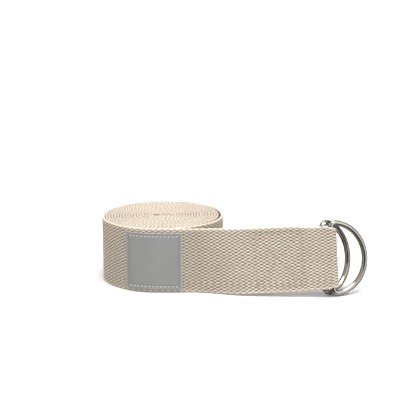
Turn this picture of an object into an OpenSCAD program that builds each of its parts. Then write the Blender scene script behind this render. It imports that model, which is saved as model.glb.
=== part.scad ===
// Stretching strap: cotton webbing wound into a roll that stands on its edge.
// The free end is at the centre of the roll, and the outer end leaves it as a straight lead.
// The lead folds back through two D-rings and is sewn to itself with a box and cross seam.
// Frame: +Z up, the roll's axis is Z, the floor is z = 0, and the lead runs along +X at the front (-Y).

/* [Webbing] */
// Width of the webbing
strap_w = 38; // [34:1:42]
// Thickness of the webbing
strap_t = 1.65; // [1.4:0.05:1.9]

/* [Roll] */
// Full turns wound round the folded free end
roll_turns = 18; // [10:1:20]
// Slack between one turn and the next, at the front and back of the roll
turn_gap = 0.25; // [0.2:0.01:0.35]
// Length of the flat hem folded at the free end
hem_len = 8.2; // [7:0.1:12]
// How far the last turn stands off the roll at the right
loose_turn = 0.8; // [0:0.1:1.2]

/* [Lead] */
// Where the lead bends away from the roll, from the roll's axis
lead_start_x = 16.5; // [15:0.5:20]
// Place of the outer ring's bar along X, from the roll's axis
ring_bar_x = 98; // [94:1:120]
// How far the outer ring's bar lies in front of the webbing at the roll's front
ring_forward = 3.675; // [1:0.025:7]
// Length of the end folded back behind the lead, from the outer bar
fold_back = 47; // [47:1:50]
// How much narrower the webbing is where it is drawn into the rings
fold_draw = 2.6; // [2.6:0.1:5]
// Angle of the lead towards the front
lead_yaw = 4; // [0:0.5:6]
// Rise of the lead towards the rings
lead_rise = 3.5; // [2:0.5:4.5]
// Tip of the lead's top edge away from the front
lead_tip = 14; // [0:1:16]

/* [Rings] */
// Clearance inside a ring at each side of the webbing drawn into it
ring_side_gap = 0.8; // [0.8:0.05:1.5]
// Diameter of the ring wire
wire_d = 3.3; // [3:0.1:3.6]
// Clear gap between one ring's bar and the other's
bar_gap = 1.9; // [1.9:0.1:2.7]
// Swing of the outer ring from straight out to its place at rest
outer_swing = 27; // [20:1:27]
// Swing of the inner ring from straight out to its place at rest
inner_swing = 46; // [46:1:54]

/* [Label] */
// Bare webbing above the square label
label_top_margin = 2.7; // [2.5:0.1:8.5]
// Thickness of the label
label_t = 0.7; // [0.4:0.1:1]
// Right edge of the label, from the roll's axis
label_right_x = 12.4; // [8:0.1:13]
// Bare webbing below the label
label_low_z = 1.5; // [1.5:0.1:2.5]

/* [Seams] */
// Spacing of the stitches round the label
label_stitch_pitch = 2.2; // [2:0.1:3]
// Inset of the stitches from the label's edge
label_stitch_inset = 2; // [1.5:0.1:3]
// Length of the sewn box behind the rings
box_len = 27; // [22:1:27]
// Margin between the sewn box and each edge of the folded webbing
box_margin = 2.2; // [2.2:0.1:5.7]
// Spacing of the stitches in the sewn box and the hem
seam_pitch = 3.1; // [2.8:0.1:4]

/* [Hidden] */
$fn = 64;

// fits
bar_fit = 0.05;          // running clearance of a bar in the fold
seat_gap = 0.02;         // a sewn piece on the webbing under it
layer_gap = 0.1;         // between two sewn layers
knuckle_gap = 0.3;       // between the roll's end and the lead's end

// webbing spiral: half-turns 0, 2, 4 ... lie on the right and 1, 3, 5 ... on the left
pitch = strap_t + turn_gap;
half_turns = 2 * roll_turns;
last = half_turns - 1;
hem_gap = 0.35;
hem_half = (strap_t + layer_gap + hem_gap) / 2 + strap_t / 2;
right_cy = -strap_t / 2 + hem_half;
left_cy = right_cy - pitch / 2;
flat_drop = turn_gap - 0.05;
function half_r(j) = hem_half + j * pitch / 2;
function flat_len(j) = max(1, hem_len - j * flat_drop) + (j == last - 1 ? 2 * loose_turn : 0);
function half_cy(j) = j % 2 == 0 ? right_cy : left_cy;
function half_cx(j) = (j % 2 == 0 ? 1 : -1) * flat_len(j) / 2;
function half_end_y(j) = half_cy(j) + (j % 2 == 0 ? 1 : -1) * half_r(j);
front_y = half_end_y(last);
face_y = front_y - strap_t / 2;
outer_r = half_r(last) + strap_t / 2;
outer_cx = half_cx(last);

// lead, rings, seam and label
fold_w = strap_w - fold_draw;
ring_in_w = fold_w + 2 * ring_side_gap;
bar_pitch = wire_d + bar_gap;
box_w = fold_w - 2 * box_margin;
label_w = strap_w - label_low_z - label_top_margin;
ring_bar_y = ring_forward - front_y;
wire_r = wire_d / 2;
fold_in_r = wire_r + bar_fit;
fold_out_r = fold_in_r + strap_t;
bow_r = ring_in_w / 2 + wire_r;
bow_cx = 1.5;
bar_half = sqrt(pow(bow_r, 2) - pow(bow_cx, 2));
bow_a = atan2(bar_half, -bow_cx);

// both rings stand on the floor, one a little up its bar and one a little down
// rise of the three lead directions: along the lead, through it and across it
along_z = sin(lead_rise);
through_z = -sin(lead_tip) * cos(lead_rise);
across_z = cos(lead_tip) * cos(lead_rise);
function bow_z(swing) = cos(swing) * along_z + sin(swing) * through_z;
function ring_drop(swing) =
    wire_r + bow_r * sqrt(pow(bow_z(swing), 2) + pow(across_z, 2)) - bow_cx * bow_z(swing);
floor_gap = 0.02;
outer_need = floor_gap + ring_drop(outer_swing);
inner_need = floor_gap + ring_drop(inner_swing) + bar_pitch * along_z;
bar_z = (outer_need + inner_need) / 2;
outer_shift = (outer_need - bar_z) / across_z;
inner_shift = (inner_need - bar_z) / across_z;

// stations along the lead, in the roll's frame
along = [cos(lead_rise) * cos(lead_yaw), -cos(lead_rise) * sin(lead_yaw), along_z];
level = [sin(lead_yaw), cos(lead_yaw), 0];
upright = cross(along, level);
through = level * cos(lead_tip) - upright * sin(lead_tip);
across = cross(along, through);
bar_at = [ring_bar_x, -ring_bar_y, bar_z];
sheet_mid = -(fold_in_r + strap_t / 2);
narrow_from = 24;
sheet_end = 9;
// behind the inner bar the folded end curves in and out again, and lies flat from fold_flat_from on
curve_r = 6;
curve_a = acos(1 - fold_in_r / curve_r);
curve_run = curve_r * sin(curve_a);
curve_from = bar_pitch + 2.2;
fold_flat_from = curve_from + 2 * curve_run;
seam_start_gap = 1.25;
seam_from = fold_flat_from + seam_start_gap;
lead_at = [lead_start_x + knuckle_gap + strap_t / 2, front_y, strap_w / 2];
sewn_at = bar_at - along * (fold_back + 1) + through * sheet_mid;
function ease(t) = t * t * (3 - 2 * t);
function mix(a, b, t) = a + (b - a) * t;
function unit(v) = v / norm(v);
twist_steps = 12;
narrow_steps = 4;

function curve_at(t) = let(d = norm(sewn_at - lead_at) / 3,
                           p1 = lead_at + [d, 0, 0],
                           p2 = sewn_at - along * d,
                           s = 1 - t)
    s * s * s * lead_at + 3 * s * s * t * p1 + 3 * s * t * t * p2 + t * t * t * sewn_at;
strip_half = strap_t / 2 - 0.01;
// the strip turns through its own middle and rises by whatever its lower edge needs to clear the floor
function twist_station(t) = let(a = ease(t),
                                v = unit(mix([0, 1, 0], through, a)),
                                w = unit(mix([0, 0, 1], across, a)),
                                c = curve_at(t),
                                low = c[2] - w[2] * strap_w / 2 - abs(v[2]) * strip_half)
    [c + [0, 0, max(0, -low)], v, w, strap_w / 2];
function sewn_station(t) = let(u = mix(-narrow_from, -sheet_end, t))
    [bar_at + along * u + through * sheet_mid, through, across,
     mix(strap_w, fold_w - 0.2, ease(t)) / 2];
stations = concat([for (i = [0 : twist_steps]) twist_station(i / twist_steps)],
                  [for (i = [0 : narrow_steps]) sewn_station(i / narrow_steps)]);
function corners(s) = [for (c = [[-1, -1], [1, -1], [1, 1], [-1, 1]])
    s[0] + s[1] * c[0] * strip_half + s[2] * c[1] * s[3]];

module lead_strip() {
    n = len(stations);
    points = [for (s = stations) each corners(s)];
    sides = [for (i = [0 : n - 2], k = [0 : 3])
        each [[4 * i + k, 4 * i + 4 + k, 4 * i + (k + 1) % 4],
              [4 * i + (k + 1) % 4, 4 * i + 4 + k, 4 * i + 4 + (k + 1) % 4]]];
    ends = [[0, 1, 2], [0, 2, 3],
            [4 * n - 4, 4 * n - 2, 4 * n - 3], [4 * n - 4, 4 * n - 1, 4 * n - 2]];
    polyhedron(points, concat(sides, ends), convexity = 6);
}

// places children in the lead's own frame: X along it, Y through it, Z across it, outer bar at 0
module at_rings() {
    translate(bar_at)
        rotate([0, 0, -lead_yaw])
            rotate([0, -lead_rise, 0])
                rotate([-lead_tip, 0, 0])
                    children();
}

// a band of webbing bent round an upright axis, from angle a0 through angle a
module bend(r_in, a0, a, w) {
    rotate([0, 0, a0])
        rotate_extrude(angle = a)
            translate([r_in, -w / 2])
                square([strap_t, w]);
}

// a flat band of webbing from x0 to x1 whose inner face is at y
module flat_band(x0, x1, y, w) {
    translate([x0, y, -w / 2])
        cube([x1 - x0, strap_t, w]);
}

module half_turn(j) {
    translate([half_cx(j), half_cy(j), strap_w / 2])
        bend(half_r(j) - strap_t / 2, j % 2 == 0 ? -90 : 90, 180, strap_w);
}

// the straight stretch between half-turn j and the next one out
module turn_link(j) {
    x_a = half_cx(j);
    x_b = half_cx(j + 1);
    translate([0, 0, strap_w / 2])
        flat_band(min(x_a, x_b), max(x_a, x_b), half_end_y(j) - strap_t / 2, strap_w);
}

// the free end, folded on itself inside the first turn
module free_end() {
    nose_x = -hem_len / 2 + 1;
    translate([0, 0, strap_w / 2]) {
        flat_band(nose_x, half_cx(0), -strap_t, strap_w);
        flat_band(nose_x, hem_len / 2 - 0.4, layer_gap, strap_w);
        translate([nose_x, layer_gap / 2, 0])
            bend(layer_gap / 2, 90, 180, strap_w);
    }
}

module webbing_roll() {
    color([0.86, 0.80, 0.72]) {
        free_end();
        for (j = [0 : last])
            half_turn(j);
        for (j = [0 : last - 1])
            turn_link(j);
        translate([0, 0, strap_w / 2])
            flat_band(outer_cx, lead_start_x, face_y, strap_w);
    }
}

// the end folded round both bars and laid back against the lead
module ring_fold() {
    tail_y = -fold_in_r + layer_gap;
    flat_band(-sheet_end - 2, 0, -fold_out_r, fold_w);
    bend(fold_in_r, -90, 180, fold_w);
    flat_band(-curve_from, 0, fold_in_r, fold_w);
    translate([-curve_from, fold_in_r + strap_t / 2 - curve_r, 0])
        bend(curve_r - strap_t / 2, 90, curve_a, fold_w);
    translate([-fold_flat_from, tail_y + strap_t / 2 + curve_r, 0])
        bend(curve_r - strap_t / 2, -90, curve_a, fold_w);
    flat_band(-fold_back, -fold_flat_from, tail_y, fold_w);
}

module webbing_lead() {
    color([0.86, 0.80, 0.72]) {
        translate([lead_at[0], lead_at[1], 0])
            cylinder(h = strap_w, r = strap_t / 2);
        lead_strip();
        at_rings()
            ring_fold();
    }
}

// a D-ring in its own plane: bar along Z, bow towards +X, welded where they meet
module d_ring() {
    cylinder(h = 2 * bar_half, r = wire_r, center = true);
    translate([bow_cx, 0, 0])
        rotate([90, 0, 0])
            rotate([0, 0, -bow_a])
                rotate_extrude(angle = 2 * bow_a)
                    translate([bow_r, 0])
                        circle(r = wire_r);
    for (side = [-1, 1])
        translate([0, 0, side * bar_half])
            sphere(r = wire_r + 0.02);
}

module ring_outer() {
    color([0.72, 0.71, 0.68])
        at_rings()
            translate([0, 0, outer_shift])
                rotate([0, 0, outer_swing])
                    d_ring();
}

module ring_inner() {
    color([0.72, 0.71, 0.68])
        at_rings()
            translate([-bar_pitch, 0, inner_shift])
                rotate([0, 0, inner_swing])
                    d_ring();
}

// places children at a run along the label from its right edge, facing the front
module on_label(run, z) {
    flat = label_right_x - outer_cx;
    a = run > flat ? (run - flat) / (outer_r + label_t) * 180 / PI : 0;
    if (run > flat)
        translate([outer_cx, left_cy, z])
            rotate([0, 0, -a])
                translate([0, -outer_r - seat_gap - label_t, 0])
                    children();
    else
        translate([label_right_x - run, face_y - seat_gap - label_t, z])
            children();
}

module label() {
    r = outer_r + seat_gap;
    flat = label_right_x - outer_cx;
    a = (label_w - flat) / (outer_r + label_t) * 180 / PI;
    color([0.55, 0.54, 0.54]) {
        translate([outer_cx, face_y - seat_gap - label_t, label_low_z])
            cube([flat, label_t, label_w]);
        translate([outer_cx, left_cy, label_low_z])
            mirror([1, 0, 0])
                rotate([0, 0, -90])
                    rotate_extrude(angle = a)
                        translate([r, 0])
                            square([label_t, label_w]);
    }
}

// one stitch lying on a face that looks towards -Y
module stitch(length, upright, d = 0.5) {
    turn = upright ? 0 : 90;
    rotate([0, turn, 0])
        translate([-d / 2, -0.3, -length / 2])
            cube([d, 0.28, length]);
}

module label_stitching() {
    side = label_w - 2 * label_stitch_inset;
    n = floor(side / label_stitch_pitch);
    step = side / n;
    color([0.93, 0.92, 0.90]) {
        for (i = [0 : n - 1], z = [0, side])
            on_label(label_stitch_inset + (i + 0.5) * step, label_low_z + label_stitch_inset + z)
                stitch(step * 0.66, false);
        for (i = [0 : n - 1], run = [0, side])
            on_label(label_stitch_inset + run, label_low_z + label_stitch_inset + (i + 0.5) * step)
                stitch(step * 0.66, true);
    }
}

// a row of stitches from point a to point b of a face that looks towards -Y
module stitch_row(a, b) {
    length = norm(b - a);
    n = floor(length / seam_pitch);
    step = length / n;
    turn = atan2(b[0] - a[0], b[1] - a[1]);
    for (i = [0 : n - 1])
        let(p = mix(a, b, (i + 0.5) / n))
            translate([p[0], 0, p[1]])
                rotate([0, turn, 0])
                    stitch(step * 0.62, true, 0.6);
}

// the sewn box with its cross, seen on one face
module box_and_cross() {
    x0 = -seam_from - box_len;
    x1 = -seam_from;
    xm = (x0 + x1) / 2;
    z = box_w / 2;
    inset = 1.2;
    stitch_row([x0, -z], [x0, z]);
    stitch_row([x1, -z], [x1, z]);
    stitch_row([x0 + inset, -z], [x1 - inset, -z]);
    stitch_row([x0 + inset, z], [x1 - inset, z]);
    stitch_row([x0 + inset, -z + inset], [x1 - inset, z - inset]);
    for (end = [-1, 1])
        stitch_row([xm + end * inset, -end * inset],
                   [xm + end * (box_len / 2 - inset), -end * (z - inset)]);
}

module ring_seam() {
    tail_back = -fold_in_r + layer_gap + strap_t;
    color([0.90, 0.85, 0.77])
        at_rings() {
            translate([0, -fold_out_r, 0])
                box_and_cross();
            translate([0, tail_back, 0])
                mirror([0, 1, 0])
                    box_and_cross();
        }
}

module hem_seam() {
    x = hem_len / 2 - 3;
    color([0.90, 0.85, 0.77])
        translate([0, strap_t + layer_gap, strap_w / 2])
            mirror([0, 1, 0])
                stitch_row([x, 3 - strap_w / 2], [x, strap_w / 2 - 3]);
}

webbing_roll();
webbing_lead();
ring_inner();
ring_outer();
label();
label_stitching();
ring_seam();
hem_seam();
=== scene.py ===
"""Stretching strap: cotton webbing wound into a roll, with two steel D-rings and a woven label."""

import math

import bmesh
import bpy
import numpy as np
from mathutils import Matrix, Vector


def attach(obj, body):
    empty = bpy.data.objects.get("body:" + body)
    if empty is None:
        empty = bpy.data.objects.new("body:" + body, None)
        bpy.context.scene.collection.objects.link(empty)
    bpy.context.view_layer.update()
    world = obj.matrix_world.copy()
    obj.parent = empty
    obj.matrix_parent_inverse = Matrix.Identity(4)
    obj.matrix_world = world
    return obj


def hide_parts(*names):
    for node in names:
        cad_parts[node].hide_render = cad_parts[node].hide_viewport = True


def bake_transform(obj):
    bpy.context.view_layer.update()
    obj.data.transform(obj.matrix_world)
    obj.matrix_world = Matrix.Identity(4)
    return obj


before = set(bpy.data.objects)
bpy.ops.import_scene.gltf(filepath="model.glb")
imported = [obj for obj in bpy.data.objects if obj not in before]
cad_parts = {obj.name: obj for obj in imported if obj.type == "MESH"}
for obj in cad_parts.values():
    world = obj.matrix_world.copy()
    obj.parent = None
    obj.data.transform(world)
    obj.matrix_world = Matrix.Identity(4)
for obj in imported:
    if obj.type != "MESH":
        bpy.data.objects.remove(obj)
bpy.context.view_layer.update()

bl_info = {
    "name": "Stretching Strap",
    "version": (1, 0, 0),
    "blender": (4, 5, 0),
    "location": "View3D > Sidebar > Strap",
    "description": "Builds a rolled webbing strap with D-rings, a woven label and sewn seams",
    "category": "Add Mesh",
}

# ------------------------------------ fixed sizes of the strap, in metres

MM = 0.001
STRAP_W = 38 * MM
STRAP_T = 1.65 * MM
ROLL_TURNS = 18
TURN_GAP = 0.25 * MM
HEM_LEN = 8.2 * MM
HEM_GAP = 0.35 * MM
HEM_DRAW_IN = 1.1 * MM
LAYER_GAP = 0.1 * MM
LOOSE_TURN = 0.8 * MM
ROLL_LEAN = 0.85 * MM
JOIN_X = 8 * MM
ROUTE_STEP = 0.15 * MM

# the last turn becomes the lead here, on the line about which the lead turns against the roll
KNUCKLE_X = 17.625 * MM

# the lead and its fold, with distances counted back from the outer ring's bar
LEAD_YAW, LEAD_RISE, LEAD_TIP = (math.radians(a) for a in (4, 3.5, 14))
BAR_AT = Vector((98, -38.7, 21.5887)) * MM
FOLD_BACK = 47 * MM
FOLD_W = 36.2 * MM
NARROW_FROM, NARROW_TO = 24 * MM, 9 * MM

# each side of the cloth bunches inside the rings' corners, a little round the outer bar and more
# behind it, and spreads again along the tail, which bends in past the inner bar
NOSE_TUCK, NOSE_TUCK_FROM = 0.8 * MM, 2.5 * MM
TUCK = 2.5 * MM
TAIL_SPREAD = 8 * MM
TAIL_BEND_PAST = 2.2 * MM
TAIL_BEND_R = 6 * MM

WIRE_D = 3.3 * MM
RING_IN_W = 37 * MM
BOW_CX = 1.5 * MM
OUTER_CORNER_R, INNER_CORNER_R = 3 * MM, 4.5 * MM
BAR_PITCH = 5.2 * MM
BAR_FIT = 0.05 * MM
WEAVE_CLEAR = 0.07 * MM
RING_SHIFT = 0.2986 * MM
OUTER_SWING, INNER_SWING = math.radians(27), math.radians(46)

LABEL_W = 33.8 * MM
LABEL_T = 0.7 * MM
LABEL_RIGHT_X = 12.4 * MM
LABEL_LOW_Z = 1.5 * MM
LABEL_INSET = 2 * MM
LABEL_STITCHES = 13
LABEL_CELLS = 132
SEAT_GAP = 0.02 * MM

# the box seam behind the rings, how far back its dents reach and how deep they and its stitches lie,
# and a stitch's length, width and height
SEAM_FROM = 17.02 * MM
SEAM_LEN = 27 * MM
SEAM_W = 31 * MM
SEAM_PITCH = 3.1 * MM
SEAM_INSET = 1.2 * MM
SEAM_REACH = 60 * MM
SEAM_SINK = 0.18 * MM
STITCH_SINK = 0.14 * MM
STITCH = (2.2 * MM, 0.6 * MM, 0.5 * MM)

# the weave: warp yarns across the strap, how many at each edge lie flatter, at what height and how
# nearly, how much higher every second yarn stands, how flat crests are on top and how far they stand out
YARNS = 41
SELVAGE_YARNS = 2.4
SELVAGE_HEIGHT, SELVAGE_FLATNESS = 0.86, 0.75
PAIRING = 0.135
CREST_SHARPNESS = 1.5
CREST_OUT = 0.05 * MM
EDGE_ROUND = 0.75 * MM

# the strap's edges: knobs to a repeat, their middle height and its swing, the painted shade of a hollow
# between knobs and the painted light a crest adds to it, and how much light reaches the cloth beneath
WOUND_EDGE = (1.5, 0.62, 0.38, 0.22, 0.60, 0.58)
OPEN_EDGE = (1, 0.72, 0.20, 0.68, 0.28, 0.25)

# what the rings mirror: grey walls, a bright ceiling, a dark surround on the floor whose hole is a share
# of its size, and two screens, each with its side (-1 left, 1 right), its ends (from -1 at the rear to 1
# in front) and its glow; the backdrop is what the camera sees in their place
WALL_GREY = 0.10
LEFT_SCREEN = (-1.0, (-0.20, 0.70), 0.9)
RIGHT_SCREEN = (1.0, (0.22, 0.70), 2.2)
CEILING_FROM, CEILING_TO = 0.42, 0.62
SURROUND_AT = (0.105, -0.03, 0)
SURROUND_R = 0.9
SURROUND_HOLE = 0.021
BACKDROP = (2.4, 2.4, 2.4, 1)


# ------------------------------------ what a user may change


class StrapWebbingSettings(bpy.types.PropertyGroup):
    float_pitch: bpy.props.FloatProperty(
        name="Float pitch", description="Length of one repeat of the weave along the strap",
        default=3.53 * MM, min=2 * MM, max=6 * MM, unit="LENGTH", precision=5)
    relief: bpy.props.FloatProperty(
        name="Relief", description="Height of the yarns over the hollows between them",
        default=0.42 * MM, min=0.05 * MM, max=0.6 * MM, unit="LENGTH", precision=5)
    unevenness: bpy.props.FloatProperty(
        name="Unevenness", description="How far one turn of the roll stands above another",
        default=0.35 * MM, min=0, max=1 * MM, unit="LENGTH", precision=5)
    crest: bpy.props.FloatVectorProperty(
        name="Yarn", description="Colour of the cotton yarn where it stands up",
        default=(0.88, 0.78, 0.655), size=3, min=0, max=1, subtype="COLOR")
    # the hollow colour is partly the cotton's own tone and partly painted shade down between the yarns
    hollow: bpy.props.FloatVectorProperty(
        name="Hollow", description="Colour of the cotton down between the yarns",
        default=(0.235, 0.178, 0.122), size=3, min=0, max=1, subtype="COLOR")
    thread: bpy.props.FloatVectorProperty(
        name="Seam thread", description="Colour of the thread in the box seam and the hem",
        default=(0.64, 0.555, 0.45), size=3, min=0, max=1, subtype="COLOR")


class StrapRingSettings(bpy.types.PropertyGroup):
    steel: bpy.props.FloatVectorProperty(
        name="Steel", description="Colour of the rings",
        default=(0.64, 0.605, 0.545), size=3, min=0, max=1, subtype="COLOR")
    roughness: bpy.props.FloatProperty(
        name="Roughness", description="How dull the polish is",
        default=0.13, min=0.02, max=0.6, subtype="FACTOR")


class StrapLabelSettings(bpy.types.PropertyGroup):
    cloth: bpy.props.FloatVectorProperty(
        name="Label", description="Colour of the label's cloth",
        default=(0.40, 0.40, 0.393), size=3, min=0, max=1, subtype="COLOR")
    edge: bpy.props.FloatVectorProperty(
        name="Label edge", description="Colour of the pale yarn at the label's folded sides",
        default=(0.66, 0.66, 0.61), size=3, min=0, max=1, subtype="COLOR")
    stitch: bpy.props.FloatVectorProperty(
        name="Label stitches", description="Colour of the thread round the label",
        default=(0.86, 0.86, 0.88), size=3, min=0, max=1, subtype="COLOR")


class StrapStageSettings(bpy.types.PropertyGroup):
    key: bpy.props.FloatProperty(
        name="Key light", description="Strength of the light from above", default=2.2, min=0, max=10)
    fill: bpy.props.FloatProperty(
        name="Fill light", description="Strength of the light from the front", default=1.22, min=0, max=10)
    back: bpy.props.FloatProperty(
        name="Back light", description="Strength of the light from behind", default=0.9, min=0, max=10)
    room: bpy.props.FloatProperty(
        name="Room light", description="Strength of the light from all round", default=0.5, min=0, max=5)


# ------------------------------------ small helpers


def arr(v):
    return np.array(v, float)


def unit_rows(a):
    return a / np.linalg.norm(a, axis=-1, keepdims=True)


def ease(t):
    return t * t * (3 - 2 * t)


def eased(x, start, length):
    """0 up to the start, then smoothly up to 1 over the length."""
    return ease(((x - start) / length).clip(0, 1))


def near(x, width):
    """1 where x is 0, falling to 0 over about the width."""
    return np.exp(-((x / width) ** 2))


def deselect_all():
    if bpy.context.mode != "OBJECT":
        bpy.ops.object.mode_set(mode="OBJECT")
    bpy.ops.object.select_all(action="DESELECT")


def select_only(*pieces):
    deselect_all()
    for piece in pieces:
        piece.select_set(True)
    bpy.context.view_layer.objects.active = pieces[0]


def started(name):
    """The piece that is being worked on, given its name."""
    piece = bpy.context.active_object
    piece.name = name
    piece.data.name = name
    return piece


def edit_all():
    """Goes into edit mode with everything selected."""
    bpy.ops.object.mode_set(mode="EDIT")
    bpy.ops.mesh.select_all(action="SELECT")


def pick(test):
    """In edit mode, selects the points that pass the test, with the edges and faces between them."""
    mesh = bpy.context.active_object.data
    work = bmesh.from_edit_mesh(mesh)
    for v in work.verts:
        v.select_set(bool(test(v.co)))
    work.select_flush(True)
    work.select_flush(False)
    bmesh.update_edit_mesh(mesh)


def face_outwards():
    """In edit mode, turns every face outwards, and goes back to object mode."""
    bpy.ops.mesh.select_all(action="SELECT")
    bpy.ops.mesh.normals_make_consistent(inside=False)
    bpy.ops.object.mode_set(mode="OBJECT")


def linked(name, data):
    """A new object of this mesh, light or camera, put in the scene."""
    made = bpy.data.objects.new(name, data)
    bpy.context.scene.collection.objects.link(made)
    return made


def mark(mesh, name, values, kind="FLOAT"):
    """Stores a number, or for FLOAT_VECTOR three, at every point of a mesh."""
    field = "value" if kind == "FLOAT" else "vector"
    mesh.attributes.new(name, kind, "POINT").data.foreach_set(field, values.astype(np.float32).ravel())


def settle(piece, material, body):
    """Gives a piece its finish and, when a body is given, its body."""
    piece.data.materials.clear()
    piece.data.materials.append(material)
    if body is not None:
        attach(piece, body)


# ------------------------------------ where the strap runs


def lead_frame():
    """Directions along the lead at the rings, through its thickness and across its width."""
    yaw, tilt, tip = LEAD_YAW, LEAD_RISE, LEAD_TIP
    along = Vector((math.cos(tilt) * math.cos(yaw), -math.cos(tilt) * math.sin(yaw), math.sin(tilt)))
    level = Vector((math.sin(yaw), math.cos(yaw), 0))
    through = level * math.cos(tip) - along.cross(level) * math.sin(tip)
    return along, through, along.cross(through)


ALONG, THROUGH, ACROSS = lead_frame()
FOLD_IN_R = WIRE_D / 2 + BAR_FIT
SHEET_MID = FOLD_IN_R + STRAP_T / 2 + WEAVE_CLEAR
PITCH = STRAP_T + TURN_GAP
HEM_HALF = (STRAP_T + LAYER_GAP + HEM_GAP) / 2 + STRAP_T / 2
RIGHT_CY = HEM_HALF - STRAP_T / 2
LEFT_CY = RIGHT_CY - PITCH / 2
LAST_HALF = 2 * ROLL_TURNS - 1


def half_turn(j):
    """Centre and radius of the strap's middle line in half-turn j, counted from the hem."""
    flat = max(1 * MM, HEM_LEN - j * (TURN_GAP - 0.05 * MM))
    flat += 2 * LOOSE_TURN if j == LAST_HALF - 1 else 0
    side = 1 if j % 2 == 0 else -1
    return side * flat / 2, RIGHT_CY if j % 2 == 0 else LEFT_CY, HEM_HALF + j * PITCH / 2


FRONT_Y = half_turn(LAST_HALF)[1] - half_turn(LAST_HALF)[2]
OUTER_CX = half_turn(LAST_HALF)[0]
OUTER_R = half_turn(LAST_HALF)[2] + STRAP_T / 2


class Route:
    """The strap's middle line, with its directions through and across the cloth, and its half width."""

    def __init__(self, origin, x_dir, y_dir, z_dir):
        self.rows = []
        self.place(origin, x_dir, y_dir, z_dir)

    def place(self, origin, x_dir, y_dir, z_dir):
        self.origin, self.x, self.y, self.z = arr(origin), arr(x_dir), arr(y_dir), arr(z_dir)

    def add(self, flat, toward, half):
        """flat and toward are places and through directions in the plane across which the strap stands."""
        at = self.origin + flat[:, :1] * self.x + flat[:, 1:] * self.y
        through = toward[:, :1] * self.x + toward[:, 1:] * self.y
        across = np.repeat(self.z[None], len(flat), 0)
        self.rows.append(np.hstack([at, through, across, np.full((len(flat), 1), half)]))

    def line(self, a, b, half=STRAP_W / 2):
        a, b = arr(a), arr(b)
        steps = max(2, round(np.linalg.norm(b - a) / ROUTE_STEP))
        t = np.linspace(0, 1, steps + 1)[:, None]
        d = (b - a) / np.linalg.norm(b - a)
        self.add(a + (b - a) * t, np.repeat(arr([[-d[1], d[0]]]), len(t), 0), half)

    def arc(self, cx, cy, r, a0, a1, half=STRAP_W / 2):
        turn = 1 if a1 > a0 else -1
        steps = max(6, round(abs(math.radians(a1 - a0)) * r / ROUTE_STEP))
        a = np.radians(np.linspace(a0, a1, steps + 1))
        spoke = np.stack([np.cos(a), np.sin(a)], 1)
        self.add(arr([[cx, cy]]) + r * spoke, -turn * spoke, half)


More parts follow.
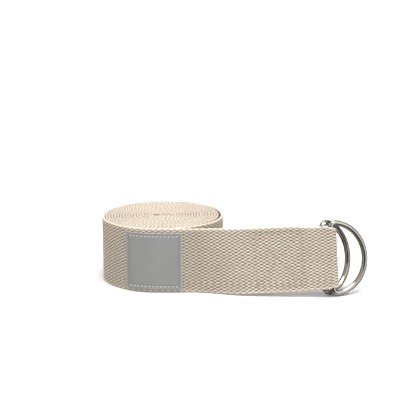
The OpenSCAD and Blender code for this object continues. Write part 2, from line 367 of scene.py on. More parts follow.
def strap_route():
    """Rows of place, through, across and half width, from the hem to the cut end behind the rings."""
    flap_y = LAYER_GAP + STRAP_T / 2
    nose_x = -HEM_LEN / 2 + 1 * MM
    route = Route((0, 0, STRAP_W / 2), (1, 0, 0), (0, 1, 0), (0, 0, 1))
    route.line((HEM_LEN / 2 - 0.4 * MM, flap_y), (nose_x, flap_y))
    route.arc(nose_x, LAYER_GAP / 2, flap_y - LAYER_GAP / 2, 90, 270)
    route.line((nose_x, -STRAP_T / 2), (half_turn(0)[0], -STRAP_T / 2))
    for j in range(LAST_HALF + 1):
        cx, cy, r = half_turn(j)
        start = -90 if j % 2 == 0 else 90
        route.arc(cx, cy, r, start, start + 180)
        end_y = cy + (r if j % 2 == 0 else -r)
        next_x = half_turn(j + 1)[0] if j < LAST_HALF else KNUCKLE_X
        route.line((cx, end_y), (next_x, end_y))

    # the lead swings out, rises and tips back
    lead_at = arr((KNUCKLE_X, FRONT_Y, STRAP_W / 2))
    sewn_at = arr(BAR_AT - ALONG * (FOLD_BACK + 1 * MM) - THROUGH * SHEET_MID)
    reach = np.linalg.norm(sewn_at - lead_at) / 3
    p1, p2 = lead_at + arr((reach, 0, 0)), sewn_at - arr(ALONG) * reach
    t = np.linspace(0, 1, 200)[:, None]
    s = 1 - t
    at = s**3 * lead_at + 3 * s * s * t * p1 + 3 * s * t * t * p2 + t**3 * sewn_at
    through = unit_rows(arr((0, 1, 0)) * (1 - ease(t)) + arr(THROUGH) * ease(t))
    across = unit_rows(arr((0, 0, 1)) * (1 - ease(t)) + arr(ACROSS) * ease(t))
    route.rows.append(np.hstack([at, through, across, np.full_like(t, STRAP_W / 2)]))

    # round both bars and back against the lead, in a gentle S to the tail
    route.place(BAR_AT, ALONG, THROUGH, ACROSS)
    half = FOLD_W / 2
    bend_a = math.degrees(math.acos(1 - FOLD_IN_R / TAIL_BEND_R))
    bend_x = -BAR_PITCH - TAIL_BEND_PAST
    tail_x = bend_x - 2 * TAIL_BEND_R * math.sin(math.radians(bend_a))
    tail_y = STRAP_T / 2 + LAYER_GAP - FOLD_IN_R
    route.line((-FOLD_BACK - 1 * MM, -SHEET_MID), (0, -SHEET_MID))
    u = (route.rows[-1][:, :3] - arr(BAR_AT)) @ arr(ALONG)
    narrow = eased(u, -NARROW_FROM, NARROW_FROM - NARROW_TO)
    tuck = NOSE_TUCK * eased(u, -NOSE_TUCK_FROM, NOSE_TUCK_FROM)
    route.rows[-1][:, 9] = STRAP_W / 2 + (half - STRAP_W / 2) * narrow - tuck
    route.arc(0, 0, SHEET_MID, -90, 90, half - NOSE_TUCK)
    route.rows[-1][:, 9] -= (TUCK - NOSE_TUCK) * ease(np.linspace(0, 1, len(route.rows[-1])))
    route.line((0, SHEET_MID), (bend_x, SHEET_MID), half - TUCK)
    route.arc(bend_x, SHEET_MID - TAIL_BEND_R, TAIL_BEND_R, 90, 90 + bend_a, half - TUCK)
    route.arc(tail_x, tail_y + TAIL_BEND_R, TAIL_BEND_R, bend_a - 90, -90, half - TUCK)
    route.line((tail_x, tail_y), (-FOLD_BACK, tail_y), half)
    u = (route.rows[-1][:, :3] - arr(BAR_AT)) @ arr(ALONG)
    route.rows[-1][:, 9] -= TUCK * (1 - eased(-u, -tail_x, TAIL_SPREAD))

    rows = np.vstack(route.rows)
    run = np.concatenate([[0], np.cumsum(np.linalg.norm(np.diff(rows[:, :3], axis=0), axis=1))])
    keep = np.concatenate([[True], np.diff(run) > 1e-7])
    return run[keep], rows[keep]


RUN, ROWS = strap_route()
TOTAL_RUN = RUN[-1]

# the outer turn takes over from the inner ones under the label, one turn before the lead begins
FRONT_ROWS = (np.abs(ROWS[:, 1] - FRONT_Y) < 1e-6) & (ROWS[:, 8] > 0.999)
RUN_JOIN = RUN[FRONT_ROWS][np.argmin(np.abs(ROWS[FRONT_ROWS, 0] - JOIN_X))]
RUN_TURN = RUN_JOIN - 2 * math.pi * half_turn(LAST_HALF - 1)[2] - 9 * MM

# past here the lead has left the roll, and the light reaches its back over the next stretch
OPENING = 25 * MM
RUN_OPEN = RUN_JOIN + KNUCKLE_X - JOIN_X + 5 * MM


def along_strap(run):
    """Rows of place, through, across and half width at these runs along the strap."""
    rows = np.stack([np.interp(run, RUN, ROWS[:, c]) for c in range(ROWS.shape[1])], 1)
    rows[:, 3:6] = unit_rows(rows[:, 3:6])
    rows[:, 6:9] = unit_rows(rows[:, 6:9])
    return rows


# ------------------------------------ the weave, as geometry


def yarn_wander():
    """Each warp yarn's own offset along the strap and across it, as fractions of a repeat."""
    draw = np.random.default_rng(11)
    return draw.normal(0, 0.025, YARNS + 8), draw.normal(0, 0.04, YARNS + 8)


WANDER_ALONG, WANDER_ACROSS = yarn_wander()


def weave_height(run, yarn, side, pitch):
    """Height of the cloth's face, from 0 in the deepest hollow to 1 on a crest. yarn counts warp yarns from
    the strap's middle, and every second yarn rises a little higher. side is 1 on the outer face and -1 on
    the inner one, whose crests lie behind the outer hollows."""
    drift = 0.05 * np.sin(run / (19 * MM) + 0.7) + 0.03 * np.sin(run / (5.3 * MM) + yarn * 0.35)
    swell = np.zeros(np.broadcast(run, yarn).shape)
    for step in (-1, 0, 1):
        k = np.floor(yarn) + step
        index = (k + YARNS / 2 + 4).astype(int).clip(0, YARNS + 7)
        off = np.abs(yarn - k - 0.5 - WANDER_ACROSS[index])
        wave = np.cos(2 * math.pi * (run / pitch + WANDER_ALONG[index] + drift)) + PAIRING
        swell += np.where(k % 2 == 0, wave, -wave) * np.cos(math.pi * off.clip(0, 0.5)) * side
    return (0.5 + 0.5 * np.tanh(CREST_SHARPNESS * swell) / math.tanh(CREST_SHARPNESS)).clip(0, 1)


def seam_lines():
    """The sewn box and its cross, as pairs of ends in the lead's own frame: along it and across it."""
    x0, x1, z = -SEAM_FROM - SEAM_LEN, -SEAM_FROM, SEAM_W / 2
    i = SEAM_INSET
    xm, h = (x0 + x1) / 2, SEAM_LEN / 2 - i
    return [
        ((x0, -z), (x0, z)), ((x1, -z), (x1, z)),
        ((x0 + i, -z), (x1 - i, -z)), ((x0 + i, z), (x1 - i, z)),
        ((x0 + i, -z + i), (x1 - i, z - i)),
        ((xm - i, i), (xm - h, z - i)), ((xm + i, -i), (xm + h, -z + i)),
    ]


def seam_dent(along, across):
    """1 on a line of the sewn box, falling to 0 beside it."""
    away = np.full(np.broadcast(along, across).shape, 1.0)
    for (ax, az), (bx, bz) in seam_lines():
        dx, dz = bx - ax, bz - az
        t = (((along - ax) * dx + (across - az) * dz) / (dx * dx + dz * dz)).clip(0, 1)
        away = np.minimum(away, np.hypot(along - ax - t * dx, across - az - t * dz))
    return near(away, 0.75 * MM)


def turn_rise(run, size):
    """How far the strap stands above the floor along the roll, where no two turns lie quite level."""
    inner = 1 - eased(run, RUN_TURN - 60 * MM, 60 * MM)
    wave = 0.5 + 0.22 * np.sin(run / (9 * MM)) + 0.2 * np.sin(run / (31 * MM) + 2)
    return size * inner * (wave + 0.1 * np.sin(run / (3.1 * MM)))


def turn_lean(y):
    """How far the roll's turns lean up towards the back, as a hand-wound roll's do."""
    return ROLL_LEAN * eased(y, -12 * MM, 48 * MM)


def section(outer_yarns, inner_yarns, edge_points):
    """The strap's outline across: yarn position, cosine and sine of the way round the edge, which edge."""
    lim = YARNS / 2 - EDGE_ROUND / (STRAP_W / YARNS)
    rim = np.linspace(0, math.pi, edge_points + 2)[1:-1]
    rows = [(y * lim, 1, 0, 0) for y in outer_yarns]
    rows += [(lim, math.cos(a), math.sin(a), 1) for a in rim]
    rows += [(y * lim, -1, 0, 0) for y in reversed(inner_yarns)]
    rows += [(-lim, math.cos(a), math.sin(a), -1) for a in reversed(rim)]
    return arr(rows)


def tube_mesh(name, spots):
    """A closed mesh through the rows of spots, each one an outline, with a flat face across both ends."""
    n, m = spots.shape[:2]
    count = np.arange(n * m).reshape(n, m)
    a, b = count[:-1], count[1:]
    quads = np.stack([a, b, np.roll(b, -1, 1), np.roll(a, -1, 1)], -1).reshape(-1, 4)
    loops = np.concatenate([quads.ravel(), count[0], count[-1][::-1]])
    totals = np.concatenate([np.full(len(quads), 4), [m, m]])
    starts = np.cumsum(totals) - totals

    mesh = bpy.data.meshes.new(name)
    mesh.vertices.add(n * m)
    mesh.vertices.foreach_set("co", spots.astype(np.float32).ravel())
    mesh.loops.add(len(loops))
    mesh.loops.foreach_set("vertex_index", loops.astype(np.int32))
    mesh.polygons.add(len(totals))
    mesh.polygons.foreach_set("loop_start", starts.astype(np.int32))
    mesh.polygons.foreach_set("loop_total", totals.astype(np.int32))
    mesh.polygons.foreach_set("use_smooth", totals == 4)
    mesh.update(calc_edges=True)
    mesh.validate()
    return mesh


def strap_piece(name, run_a, run_b, step, outline, wound_in=False):
    """A length of the strap as one closed mesh, with its weave raised on both faces and its edges knobbed.
    Of turns that are wound in, only the edges show: their knobs are finer and drift out of step from turn
    to turn, and both faces lie in shade."""
    look = bpy.context.scene.strap_webbing
    pitch, relief = look.float_pitch, look.relief
    knobs, rim_height, rim_swing, rim_dark, rim_gain, deep = WOUND_EDGE if wound_in else OPEN_EDGE
    first, final = round(run_a / step), round(run_b / step)
    run = (np.arange(first, final + 1) * step)[:, None]
    rows = along_strap(run[:, 0])
    rows[:, 9] -= HEM_DRAW_IN * (1 - eased(run[:, 0], HEM_LEN, 3 * MM))
    at, through, across, half = rows[:, None, :3], rows[:, None, 3:6], rows[:, None, 6:9], rows[:, 9:]
    yarn, c, s, edge = outline.T
    on_edge = edge != 0
    on_rim = np.abs(edge) * s

    w = yarn * half / (YARNS / 2) + edge * s * EDGE_ROUND
    v = np.broadcast_to(-STRAP_T / 2 * c, w.shape)
    h_out = weave_height(run, yarn[None], 1, pitch)
    h_in = weave_height(run, yarn[None], -1, pitch)
    h = h_out * (1 + c) / 2 + h_in * (1 - c) / 2
    selvage = eased(np.abs(yarn), YARNS / 2 - SELVAGE_YARNS, SELVAGE_YARNS)
    h = h + (SELVAGE_HEIGHT - h) * SELVAGE_FLATNESS * selvage
    beat = 2 * math.pi * run / pitch * knobs + (edge > 0) * 2.1
    if wound_in:
        beat = beat + 2.2 * np.sin(run / (23 * MM)) + 1.7 * np.sin(run / (57 * MM) + 1) + 1.2 * c
    h = h * (1 - on_rim) + (rim_height + rim_swing * np.cos(beat) * on_rim) * on_rim

    # sewn lines pull the cloth in, on the lead's front and on the back of the folded end
    u = ((at[:, 0] - arr(BAR_AT)) @ arr(ALONG))[:, None]
    dent = seam_dent(u, w) * ((c > 0)[None] & (u > -SEAM_REACH))
    lift = (h - 1) * relief + CREST_OUT - dent * SEAM_SINK
    z_up = turn_rise(run, look.unevenness) + turn_lean(at[:, :, 1]) * (run < RUN_JOIN)
    spots = at + through * (v + lift * -c)[:, :, None] + across * (w + lift * edge * s + z_up)[:, :, None]
    mesh = tube_mesh(name, spots)

    # cloth that faces into the roll is hidden from the light, and the edge over it stays pale
    inward = np.ones_like(c, bool) if wound_in else (c <= 0)
    deep = deep + (1 - deep) * eased(run, RUN_OPEN, OPENING)
    buried = np.where(inward, deep + (1 - deep) * np.where(on_edge, s, 0), 1)
    # painted shade: the edge knobs are painted darker in their hollows and lighter on their crests, and the
    # lower edge is painted a quarter darker
    rim_painted_shade = (rim_dark + rim_gain * h) * np.where(edge < 0, 0.75, 1)
    # painted shade: the tone follows the weave's height, so the hollows between yarns take the dark hollow
    # colour, partly the cotton's own tone and partly painted shade, and the sewn dents are painted a little
    # darker
    shade = np.where(on_edge, rim_painted_shade, h) * buried * (1 - 0.15 * dent)
    # the relief mark carries this painted shade and tone, not the height itself
    mark(mesh, "relief", shade.clip(0, 1))
    mark(mesh, "thread_place", np.stack([np.broadcast_to(run, w.shape), w, v], -1) / MM, "FLOAT_VECTOR")
    return linked(name, mesh), final * step - first * step


# ------------------------------------ finishes


def fill(tree, node, inputs):
    """Links each of a node's inputs to another node's output, or sets it to a plain value."""
    for name, value in inputs.items():
        if isinstance(value, bpy.types.NodeSocket):
            tree.links.new(value, node.inputs[name])
        else:
            node.inputs[name].default_value = value


def add_node(tree, kind, inputs, **settings):
    node = tree.nodes.new("ShaderNode" + kind)
    for name, value in settings.items():
        setattr(node, name, value)
    fill(tree, node, inputs)
    return node


def math_node(tree, how, a, b=0.0):
    return add_node(tree, "Math", {0: a, 1: b}, operation=how).outputs[0]


def noise(tree, place, scale, detail=2, roughness=0.5):
    inputs = {"Vector": place, "Scale": scale, "Detail": detail, "Roughness": roughness}
    return add_node(tree, "TexNoise", inputs).outputs[0]


def mixed(tree, mask, a, b, how="MIX"):
    """Colour a where the mask is 0 and b where it is 1."""
    inputs = {"Factor": mask, "A": a, "B": b}
    return add_node(tree, "Mix", inputs, data_type="RGBA", blend_type=how).outputs["Result"]


def toned(tree, colour, tone):
    """A colour made lighter or darker by a tone near 1."""
    return mixed(tree, 1, colour, tone, "MULTIPLY")


def ramped(tree, value, low, high, to_low, to_high, how="SMOOTHSTEP"):
    """A value spread from low..high to to_low..to_high."""
    inputs = {"Value": value, "From Min": low, "From Max": high, "To Min": to_low, "To Max": to_high}
    return add_node(tree, "MapRange", inputs, interpolation_type=how).outputs[0]


def bumped(tree, height, strength, distance):
    return add_node(tree, "Bump", {"Height": height, "Strength": strength, "Distance": distance}).outputs[0]


def attribute(tree, name, output="Fac"):
    return add_node(tree, "Attribute", {}, attribute_name=name).outputs[output]


def new_group(name, ins, outs):
    """An empty shader node group with its inputs and its end node. Place is a vector, the rest numbers."""
    group = bpy.data.node_groups.new(name, "ShaderNodeTree")
    for label, default in ins.items():
        kind = "NodeSocketVector" if label == "Place" else "NodeSocketFloat"
        socket = group.interface.new_socket(name=label, in_out="INPUT", socket_type=kind)
        if default is not None:
            socket.default_value = default
    for label in outs:
        group.interface.new_socket(name=label, in_out="OUTPUT", socket_type="NodeSocketFloat")
    return group, group.nodes.new("NodeGroupInput").outputs, group.nodes.new("NodeGroupOutput")


def yarn_grain_group():
    """Fine fibres that run along a yarn, with soft blotches: a tone near 1 and a height."""
    if "Yarn Grain" in bpy.data.node_groups:
        return bpy.data.node_groups["Yarn Grain"]
    group, given, end = new_group(
        "Yarn Grain", {"Place": None, "Fibre Scale": 3.0, "Blotch Scale": 0.08, "Contrast": 0.2},
        ("Tone", "Height"))
    slant = {"Vector": given["Place"], "Rotation": (0, 0, math.radians(24)), "Scale": (0.35, 1.6, 1.6)}
    fibre = noise(group, add_node(group, "Mapping", slant).outputs[0], given["Fibre Scale"], 3, 0.6)
    blotch = noise(group, given["Place"], given["Blotch Scale"])
    centred = math_node(group, "SUBTRACT", math_node(group, "ADD", fibre, blotch), 1.0)
    scaled = math_node(group, "MULTIPLY", centred, given["Contrast"])
    fill(group, end, {"Tone": math_node(group, "ADD", scaled, 1.0), "Height": fibre})
    return group


def steel_wear_group():
    """Fine rubbing marks on polished metal: a roughness, a height and a tone near 1."""
    if "Steel Wear" in bpy.data.node_groups:
        return bpy.data.node_groups["Steel Wear"]
    group, given, end = new_group(
        "Steel Wear", {"Place": None, "Scale": 900.0, "Base": 0.15, "Spread": 0.1},
        ("Roughness", "Height", "Tone"))
    rubbing = noise(group, given["Place"], given["Scale"], 4)
    broad = math_node(group, "MULTIPLY", noise(group, given["Place"], 120), 0.16)
    uneven = math_node(group, "MULTIPLY", rubbing, given["Spread"])
    fill(group, end, {
        "Roughness": math_node(group, "ADD", uneven, given["Base"]), "Height": rubbing,
        "Tone": math_node(group, "ADD", broad, 0.92)})
    return group


def grained(tree, place, fibre_scale, blotch_scale, contrast):
    """The yarn grain in one material, with that material's own values."""
    inputs = {"Place": place, "Fibre Scale": fibre_scale, "Blotch Scale": blotch_scale, "Contrast": contrast}
    return add_node(tree, "Group", inputs, node_tree=yarn_grain_group()).outputs


def new_material(name):
    made = bpy.data.materials.new(name)
    made.use_nodes = True
    return made, made.node_tree, made.node_tree.nodes["Principled BSDF"]


def rgba(colour):
    return (*colour, 1.0)


def webbing_finish():
    """Unbleached cotton: pale crests, brown hollows that are partly the cotton's own tone and partly painted
    shade, fine fibres along the yarns.
    """
    if "Cotton Webbing" in bpy.data.materials:
        return bpy.data.materials["Cotton Webbing"]
    look = bpy.context.scene.strap_webbing
    made, tree, shader = new_material("Cotton Webbing")
    grain = grained(tree, attribute(tree, "thread_place", "Vector"), 2.6, 0.10, 0.22)
    # the relief mark carries painted shade: hollows of the weave, gaps between edge knobs, the lower edge,
    # sewn dents and the inside of the roll take the hollow colour
    crested = ramped(tree, attribute(tree, "relief"), 0.0, 0.95, 0.0, 1.0)
    base = mixed(tree, crested, rgba(look.hollow), rgba(look.crest))
    fill(tree, shader, {
        "Base Color": toned(tree, base, grain["Tone"]), "Roughness": 0.92, "Specular IOR Level": 0.25,
        "Sheen Weight": 0.12, "Sheen Roughness": 0.5,
        "Normal": bumped(tree, grain["Height"], 0.45, 0.12 * MM)})
    return made


def thread_finish(name, colour):
    """Sewing thread with its twist, in each stitch's own tone."""
    if name in bpy.data.materials:
        return bpy.data.materials[name]
    made, tree, shader = new_material(name)
    grain = grained(tree, add_node(tree, "TexCoord", {}).outputs["Object"], 3200, 400, 0.18)
    base = toned(tree, toned(tree, rgba(colour), grain["Tone"]), attribute(tree, "tone"))
    fill(tree, shader, {
        "Base Color": base, "Roughness": 0.6, "Sheen Weight": 0.15,
        "Normal": bumped(tree, grain["Height"], 0.4, 0.05 * MM)})
    return made


def steel_finish():
    """Polished steel with fine rubbing marks."""
    if "Polished Steel" in bpy.data.materials:
        return bpy.data.materials["Polished Steel"]
    look = bpy.context.scene.strap_rings
    made, tree, shader = new_material("Polished Steel")
    place = add_node(tree, "TexCoord", {}).outputs["Object"]
    inputs = {"Place": place, "Scale": 900, "Base": look.roughness - 0.05, "Spread": 0.1}
    wear = add_node(tree, "Group", inputs, node_tree=steel_wear_group()).outputs
    fill(tree, shader, {
        "Base Color": toned(tree, rgba(look.steel), wear["Tone"]), "Roughness": wear["Roughness"],
        "Metallic": 1, "Normal": bumped(tree, wear["Height"], 0.06, 0.05 * MM)})
    return made


def label_finish():
    """Close grey label cloth whose folded sides show a pale yarn."""
    if "Label Cloth" in bpy.data.materials:
        return bpy.data.materials["Label Cloth"]
    look = bpy.context.scene.strap_label
    made, tree, shader = new_material("Label Cloth")
    grain = grained(tree, attribute(tree, "thread_place", "Vector"), 4.5, 0.12, 0.16)
    base = mixed(tree, attribute(tree, "border"), rgba(look.cloth), rgba(look.edge))
    # the relief mark brings the ribs' own tone and the painted shade along the stitches
    ribs_and_shade = ramped(tree, attribute(tree, "relief"), 0.0, 1.0, 0.8, 1.05, "LINEAR")
    fill(tree, shader, {
        "Base Color": toned(tree, toned(tree, base, grain["Tone"]), ribs_and_shade), "Roughness": 0.85,
        "Sheen Weight": 0.1, "Normal": bumped(tree, grain["Height"], 0.3, 0.06 * MM)})
    return made


# ------------------------------------ pieces of webbing


def spread(count):
    return list(np.linspace(-1, 1, count))


def joins(pitch):
    """Runs where one length of webbing takes over from another, at whole repeats of the weave."""
    return round(RUN_TURN / pitch) * pitch, round(RUN_JOIN / pitch) * pitch


class STRAP_OT_inner_turns(bpy.types.Operator):
    """Wind the inner turns of the roll, from the hem to one turn before the lead"""

    bl_idname = "strap.wind_inner_turns"
    bl_label = "Inner Turns"

    def execute(self, context):
        deselect_all()
        pitch = context.scene.strap_webbing.float_pitch
        brim = [-1, -0.95, 0.90, 0.925, 0.95, 0.975, 1]
        outline = section(brim, brim, 4)
        piece, length = strap_piece("webbing_inner_turns", 0, joins(pitch)[0], pitch / 7, outline, True)
        settle(piece, webbing_finish(), "roll")
        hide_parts("webbing_roll")
        return {"FINISHED"}


class STRAP_OT_outer_turn(bpy.types.Operator):
    """Wind the outer turn of the roll, with its weave raised"""

    bl_idname = "strap.wind_outer_turn"
    bl_label = "Outer Turn"

    def execute(self, context):
        deselect_all()
        pitch = context.scene.strap_webbing.float_pitch
        outline = section(spread(155), [-1, -0.95, -0.5, 0, 0.5, 0.9, 0.95, 1], 5)
        run_a, run_b = joins(pitch)
        piece, length = strap_piece("webbing_outer_turn", run_a, run_b, pitch / 8, outline)
        settle(piece, webbing_finish(), "roll")
        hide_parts("webbing_roll")
        return {"FINISHED"}


class STRAP_OT_lead(bpy.types.Operator):
    """Lay the lead, fold it round both rings and back against itself"""

    bl_idname = "strap.lay_lead"
    bl_label = "Lead and Ring Loop"

    def execute(self, context):
        deselect_all()
        pitch = context.scene.strap_webbing.float_pitch
        outline = section(spread(155), spread(78), 5)
        piece, length = strap_piece("webbing_lead_loop", joins(pitch)[1], TOTAL_RUN, pitch / 8, outline)
        settle(piece, webbing_finish(), None)
        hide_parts("webbing_lead", "webbing_roll")
        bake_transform(piece)
        return {"FINISHED"}


# ------------------------------------ rings


def d_ring(name, bar_at, swing, corner_r, body, node):
    """One D-ring: a wire circle drawn along the bar, round a corner, along the bow and back."""
    deselect_all()
    bow_r = RING_IN_W / 2 + WIRE_D / 2
    corner_z = math.sqrt((bow_r - corner_r) ** 2 - (corner_r - BOW_CX) ** 2)
    corner_a = math.pi - math.atan2(corner_z, corner_r - BOW_CX)
    bow_a = 2 * (math.pi - corner_a)
    bpy.ops.mesh.primitive_circle_add(vertices=28, radius=WIRE_D / 2, location=(0, 0, -corner_z))
    ring = started(name)
    bpy.ops.object.transform_apply(location=True, rotation=True, scale=True)
    edit_all()
    for _ in range(4):
        bpy.ops.mesh.extrude_region_move(TRANSFORM_OT_translate={"value": (0, 0, corner_z / 2)})
    for steps, angle, x, z in ((14, corner_a, corner_r, corner_z), (96, bow_a, BOW_CX, 0),
                               (14, corner_a, corner_r, -corner_z)):
        bpy.ops.mesh.spin(steps=steps, angle=-angle, center=(x, 0, z), axis=(0, 1, 0))
    bpy.ops.mesh.select_all(action="SELECT")
    bpy.ops.mesh.remove_doubles(threshold=0.00002)
    face_outwards()
    out = ALONG * math.cos(swing) + THROUGH * math.sin(swing)
    ring.matrix_world = axes(bar_at, out, ACROSS.cross(out), ACROSS)
    bpy.ops.object.transform_apply(location=True, rotation=True, scale=True)
    bpy.ops.object.shade_smooth()
    settle(ring, steel_finish(), body)
    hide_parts(node)


class STRAP_OT_rings(bpy.types.Operator):
    """Bend the two D-rings from round wire"""

    bl_idname = "strap.bend_rings"
    bl_label = "D-Rings"

    def execute(self, context):
        outer_at = BAR_AT - ACROSS * RING_SHIFT
        inner_at = BAR_AT - ALONG * BAR_PITCH + ACROSS * RING_SHIFT
        d_ring("d_ring_outer", outer_at, OUTER_SWING, OUTER_CORNER_R, "outer_ring", "ring_outer")
        d_ring("d_ring_inner", inner_at, INNER_SWING, INNER_CORNER_R, "inner_ring", "ring_inner")
        return {"FINISHED"}


# ------------------------------------ label


def label_place(run, out):
    """x and y on the label, at a run from its right edge and a height off the webbing."""
    flat = LABEL_RIGHT_X - OUTER_CX
    a = (run - flat).clip(0, None) / (OUTER_R + LABEL_T)
    r = OUTER_R + SEAT_GAP + out
    x = np.where(run > flat, OUTER_CX - r * np.sin(a), LABEL_RIGHT_X - run)
    y = np.where(run > flat, LEFT_CY - r * np.cos(a), LEFT_CY - r)
    return x, y


def label_mesh(run, up, out):
    """The label's closed mesh, from each point's run, height and distance off the webbing."""
    m = len(run)
    points = [np.stack([*label_place(run, height), up + LABEL_LOW_Z], -1).reshape(-1, 3)
              for height in (out, 0 * out)]
    grid = np.arange(m * m).reshape(m, m)
    a, b, c, d = grid[:-1, :-1], grid[1:, :-1], grid[1:, 1:], grid[:-1, 1:]
    front = np.stack([a, d, c, b], -1).reshape(-1, 4)
    back = np.stack([a, b, c, d], -1).reshape(-1, 4) + m * m
    ring = np.concatenate([grid[:-1, 0], grid[-1, :-1], grid[:0:-1, -1], grid[0, :0:-1]])
    after = np.roll(ring, -1)
    wall = np.stack([ring, after, after + m * m, ring + m * m], -1)
    mesh = bpy.data.meshes.new("label_woven")
    mesh.from_pydata(np.vstack(points).tolist(), [], np.vstack([front, back, wall]).tolist())
    mesh.update()
    return mesh


class STRAP_OT_label(bpy.types.Operator):
    """Lay the woven label on the front of the roll"""

    bl_idname = "strap.lay_label"
    bl_label = "Label"

    def execute(self, context):
        deselect_all()
        m = LABEL_CELLS + 1
        run, up = np.meshgrid(*[np.linspace(0, LABEL_W, m)] * 2, indexing="ij")
        side = np.minimum(run, LABEL_W - run)
        end = np.minimum(up, LABEL_W - up)
        edge = np.minimum(side, end)
        rib = 0.5 + 0.5 * np.cos(math.pi * np.add.outer(np.arange(m), np.arange(m)))

        # the cloth sinks along the stitches, most of all between them, and curls a little at its edges
        step = (LABEL_W - 2 * LABEL_INSET) / LABEL_STITCHES
        beat = np.where(side < end, up, run) - LABEL_INSET
        pucker = 0.5 + 0.5 * np.cos(2 * math.pi * beat / step)
        sink = near(edge - LABEL_INSET, 0.8 * MM) * (0.16 + 0.10 * (1 - pucker)) * MM
        ripple = 0.5 + 0.5 * np.sin(run / (4.1 * MM) + 1) * np.cos(up / (5.3 * MM))
        curl = 0.12 * MM * np.exp(-edge / (1.0 * MM)) * ripple
        rim = (1 - (1 - (edge / (0.35 * MM)).clip(0, 1)) ** 2) ** 0.5
        out = (LABEL_T - 0.03 * MM + 0.05 * MM * rib - sink + curl) * (0.35 + 0.65 * rim)

        mesh = label_mesh(run, up, out)
        # painted shade: the cloth is painted darker where it sinks along the stitches; the ribs are the
        # weave's own pattern
        shade = (0.4 + 0.6 * rib - 1.2 * sink / MM).clip(0, 1)
        place = np.stack([run, up, 0 * run], -1).reshape(-1, 3) / MM
        mark(mesh, "relief", np.concatenate([shade.ravel(), np.full(m * m, 0.5)]))
        mark(mesh, "border", np.concatenate([near(side, 0.55 * MM).ravel(), np.zeros(m * m)]))
        mark(mesh, "thread_place", np.vstack([place, place]), "FLOAT_VECTOR")
        piece = linked("label_woven", mesh)
        select_only(piece)
        edit_all()
        face_outwards()
        bpy.ops.object.shade_smooth_by_angle(angle=math.radians(50))
        settle(piece, label_finish(), "roll")
        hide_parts("label")
        return {"FINISHED"}


# ------------------------------------ stitches


def stitch_model(length, wide, tall):
    """One stitch of round thread along Z that stands out along -Y, its ends drawn down into the cloth."""
    deselect_all()
    bpy.ops.mesh.primitive_uv_sphere_add(segments=10, ring_count=9, radius=0.5, location=(0, 0, 0))
    stitch = started("stitch")
    edit_all()
    bpy.ops.transform.resize(value=(wide, tall, length))
    for beyond, drop in ((0.28, 0.22), (0.44, 0.3)):
        pick(lambda co: abs(co.z) > beyond * length)
        bpy.ops.transform.translate(value=(0, drop * tall, 0))
    face_outwards()
    bpy.ops.object.shade_smooth()
    return stitch


def copied_along(model, places, name):
    """Copies of the model at each place, joined into one piece, with a tone for each copy."""
    copies = []
    for place, tone in places:
        copy = linked(name, model.data.copy())
        copy.matrix_world = place
        mark(copy.data, "tone", np.full(len(copy.data.vertices), tone))
        copies.append(copy)
    select_only(*copies)
    bpy.ops.object.transform_apply(location=True, rotation=True, scale=True)
    bpy.ops.object.join()
    bpy.data.objects.remove(model)
    return started(name)


def axes(at, x_dir, y_dir, z_dir):
    turn = Matrix((x_dir, y_dir, z_dir)).transposed().to_4x4()
    return Matrix.Translation(at) @ turn


def sewn_row(a, b):
    """Middles and directions of the stitches from a to b."""
    a, b = Vector(a), Vector(b)
    count = max(1, math.floor((b - a).length / SEAM_PITCH))
    return [(a.lerp(b, (i + 0.5) / count), (b - a).normalized()) for i in range(count)]


class STRAP_OT_label_stitches(bpy.types.Operator):
    """Sew the label down with a row of stitches along each side"""

    bl_idname = "strap.sew_label"
    bl_label = "Label Stitches"

    def execute(self, context):
        side = LABEL_W - 2 * LABEL_INSET
        step = side / LABEL_STITCHES
        model = stitch_model(step * 0.7, 0.62 * MM, 0.5 * MM)
        draw = np.random.default_rng(5)
        places = []

        def sew(run, z, flat, tone):
            x, y = label_place(arr([run]), arr([LABEL_T - 0.12 * MM]))
            a = max(0.0, run - (LABEL_RIGHT_X - OUTER_CX)) / (OUTER_R + LABEL_T)
            toward = Vector((math.sin(a), math.cos(a), 0))
            level = Vector((math.cos(a), -math.sin(a), 0))
            up = Vector((0, 0, 1))
            skew = draw.normal(0, math.radians(4))
            if flat:
                z_dir = level * math.cos(skew) + up * math.sin(skew)
            else:
                z_dir = up * math.cos(skew) + level * math.sin(skew)
            places.append((axes(Vector((x[0], y[0], z)), toward.cross(z_dir), toward, z_dir), tone))

        # the rows that run up the label's sides are duller than the level ones
        for i in range(LABEL_STITCHES):
            middle = LABEL_INSET + (i + 0.5) * step
            for z in (0, side):
                sew(middle, LABEL_LOW_Z + LABEL_INSET + z, True, 1.0)
            for run in (0, side):
                sew(LABEL_INSET + run, LABEL_LOW_Z + middle, False, 0.42)
        piece = copied_along(model, places, "label_thread")
        finish = thread_finish("Label Thread", context.scene.strap_label.stitch)
        settle(piece, finish, "roll")
        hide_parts("label_stitching")
        return {"FINISHED"}


class STRAP_OT_box_seam(bpy.types.Operator):
    """Sew the box and its cross that close the loop behind the rings"""

    bl_idname = "strap.sew_box"
    bl_label = "Box Seam"

    def execute(self, context):
        model = stitch_model(*STITCH)
        back_y = LAYER_GAP + STRAP_T - FOLD_IN_R
        front_y = -FOLD_IN_R - STRAP_T
        draw = np.random.default_rng(8)
        places = []
        for y, inward in ((front_y + STITCH_SINK, THROUGH), (back_y - STITCH_SINK, -THROUGH)):
            for a, b in seam_lines():
                for middle, way in sewn_row(a, b):
                    z_dir = (ALONG * way.x + ACROSS * way.y).normalized()
                    at = BAR_AT + ALONG * middle.x + ACROSS * middle.y + THROUGH * y
                    tone = float(draw.uniform(0.94, 1.04))
                    places.append((axes(at, inward.cross(z_dir), inward, z_dir), tone))
        piece = copied_along(model, places, "box_seam_thread")
        finish = thread_finish("Seam Thread", context.scene.strap_webbing.thread)
        settle(piece, finish, "lead")
        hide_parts("ring_seam")
        return {"FINISHED"}


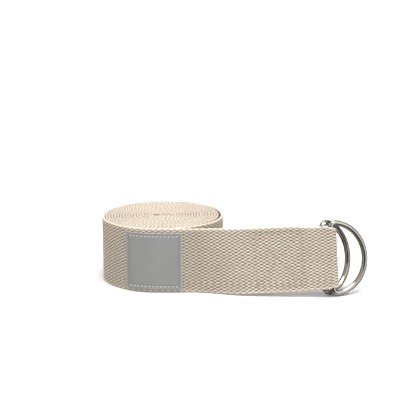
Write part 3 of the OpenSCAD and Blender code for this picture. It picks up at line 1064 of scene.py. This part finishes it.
class STRAP_OT_hem_seam(bpy.types.Operator):
    """Sew the hem at the free end, in the middle of the roll"""

    bl_idname = "strap.sew_hem"
    bl_label = "Hem Seam"

    def execute(self, context):
        model = stitch_model(*STITCH)
        x = HEM_LEN / 2 - 3 * MM
        y = STRAP_T + LAYER_GAP - 0.05 * MM
        inward, z_dir = Vector((0, -1, 0)), Vector((0, 0, 1))
        places = [(axes(Vector((x, y, middle.y)), inward.cross(z_dir), inward, z_dir), 1.0)
                  for middle, _ in sewn_row((x, 3 * MM), (x, STRAP_W - 3 * MM))]
        piece = copied_along(model, places, "hem_seam_thread")
        finish = thread_finish("Seam Thread", context.scene.strap_webbing.thread)
        settle(piece, finish, "roll")
        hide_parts("hem_seam")
        return {"FINISHED"}


# ------------------------------------ stage


def add_sun(name, strength, angle, toward, mirrored=True):
    """A soft light from far away. One that isn't mirrored lights the cloth but doesn't show in the rings."""
    light = bpy.data.lights.new(name, "SUN")
    light.energy = strength
    light.angle = math.radians(angle)
    lamp = linked(name, light)
    lamp.visible_glossy = mirrored
    lamp.rotation_mode = "QUATERNION"
    lamp.rotation_quaternion = Vector(toward).to_track_quat("-Z", "Y")


def seen_by_camera(tree):
    return add_node(tree, "LightPath", {}).outputs["Is Camera Ray"]


def light_room(scene):
    """Grey walls with two screens and a bright ceiling, for the rings to mirror, behind a white backdrop."""
    scene.world = bpy.data.worlds.new("Studio")
    scene.world.use_nodes = True
    tree = scene.world.node_tree
    way = add_node(tree, "TexCoord", {}).outputs["Generated"]
    x, y, z = add_node(tree, "SeparateXYZ", {0: way}).outputs
    level = math_node(tree, "ADD", math_node(tree, "POWER", x, 2.0), math_node(tree, "POWER", y, 2.0))
    forward = math_node(tree, "DIVIDE", math_node(tree, "MULTIPLY", y, -1.0), math_node(tree, "SQRT", level))
    walls = WALL_GREY
    for side, (rear, front), glow in (LEFT_SCREEN, RIGHT_SCREEN):
        to_side = math_node(tree, "GREATER_THAN", math_node(tree, "MULTIPLY", x, side), 0.0)
        front_end = ramped(tree, forward, front, front + 0.16, glow, 0.0)
        rear_end = ramped(tree, forward, rear - 0.2, rear, 0.0, 1.0)
        screen = math_node(tree, "MULTIPLY", math_node(tree, "MULTIPLY", front_end, rear_end), to_side)
        walls = math_node(tree, "ADD", screen, walls)
    room = math_node(tree, "MAXIMUM", walls, ramped(tree, z, CEILING_FROM, CEILING_TO, 0.0, 1.0))
    fill(tree, tree.nodes["Background"], {
        "Color": mixed(tree, seen_by_camera(tree), room, BACKDROP),
        "Strength": scene.strap_stage.room})


class STRAP_OT_stage(bpy.types.Operator):
    """Set the pale floor, the soft lights and the camera"""

    bl_idname = "strap.set_stage"
    bl_label = "Stage"

    def execute(self, context):
        scene = context.scene
        stage = scene.strap_stage
        deselect_all()
        bpy.ops.mesh.primitive_plane_add(size=24, location=(0, 6, -0.0001))
        floor = started("floor")
        made, tree, shader = new_material("Pale Floor")
        seen = seen_by_camera(tree)
        fill(tree, shader, {
            "Base Color": mixed(tree, seen, (0.45, 0.45, 0.45, 1), (0.95, 0.95, 0.95, 1)),
            "Emission Color": (1, 1, 1, 1), "Emission Strength": math_node(tree, "MULTIPLY", seen, 0.02),
            "Roughness": 0.9, "Specular IOR Level": 0.1})
        floor.data.materials.append(made)

        add_sun("key_light", stage.key, 30, (-0.10, 0.08, -1.0))
        add_sun("fill_light", stage.fill, 100, (0.12, 1.0, -0.35), mirrored=False)
        add_sun("back_light", stage.back, 100, (0.3, -1.0, -0.25), mirrored=False)
        light_room(scene)

        # a dark surround on the floor that only the polished rings see
        bpy.ops.mesh.primitive_circle_add(
            vertices=64, radius=SURROUND_R, fill_type="NOTHING", location=SURROUND_AT)
        surround = started("dark_surround")
        edit_all()
        bpy.ops.mesh.extrude_edges_move()
        bpy.ops.transform.resize(value=(SURROUND_HOLE, SURROUND_HOLE, 1))
        bpy.ops.object.mode_set(mode="OBJECT")
        dark, tree, shader = new_material("Dark Surround")
        fill(tree, shader, {"Base Color": (0.04, 0.04, 0.04, 1)})
        surround.data.materials.append(dark)
        surround.visible_camera = surround.visible_diffuse = surround.visible_shadow = False

        camera = bpy.data.cameras.new("camera")
        camera.sensor_width = 36
        camera.lens = 89.63
        camera.clip_start, camera.clip_end = 0.01, 100
        eye = linked("camera", camera)
        eye.location = (0.02613, -0.61054, 0.17856)
        eye.rotation_euler = (math.radians(90 - 12.6), 0, math.radians(-0.11))
        scene.camera = eye
        scene.view_settings.view_transform = "Standard"
        scene.view_settings.look = "None"
        return {"FINISHED"}


# ------------------------------------ panel and registration


STEPS = (
    STRAP_OT_stage, STRAP_OT_inner_turns, STRAP_OT_outer_turn, STRAP_OT_rings, STRAP_OT_lead,
    STRAP_OT_label, STRAP_OT_label_stitches, STRAP_OT_box_seam, STRAP_OT_hem_seam,
)
SETTINGS = (
    ("strap_webbing", StrapWebbingSettings), ("strap_rings", StrapRingSettings),
    ("strap_label", StrapLabelSettings), ("strap_stage", StrapStageSettings),
)


class STRAP_PT_panel(bpy.types.Panel):
    """Lists the strap's settings and the steps that build it"""

    bl_label = "Stretching Strap"
    bl_idname = "STRAP_PT_panel"
    bl_space_type = "VIEW_3D"
    bl_region_type = "UI"
    bl_category = "Strap"

    def draw(self, context):
        for name, _ in SETTINGS:
            box = self.layout.box()
            group = getattr(context.scene, name)
            for key in group.__annotations__:
                box.prop(group, key)
        for step in STEPS:
            self.layout.operator(step.bl_idname)


def register():
    for name, group in SETTINGS:
        bpy.utils.register_class(group)
        setattr(bpy.types.Scene, name, bpy.props.PointerProperty(type=group))
    for each in (*STEPS, STRAP_PT_panel):
        bpy.utils.register_class(each)


def unregister():
    for each in (STRAP_PT_panel, *reversed(STEPS)):
        bpy.utils.unregister_class(each)
    for name, group in reversed(SETTINGS):
        delattr(bpy.types.Scene, name)
        bpy.utils.unregister_class(group)


def main():
    register()
    for step in STEPS:
        family, name = step.bl_idname.split(".")
        if getattr(getattr(bpy.ops, family), name)() != {"FINISHED"}:
            raise RuntimeError(f"{step.bl_label} was not finished")


if __name__ == "__main__":
    main()
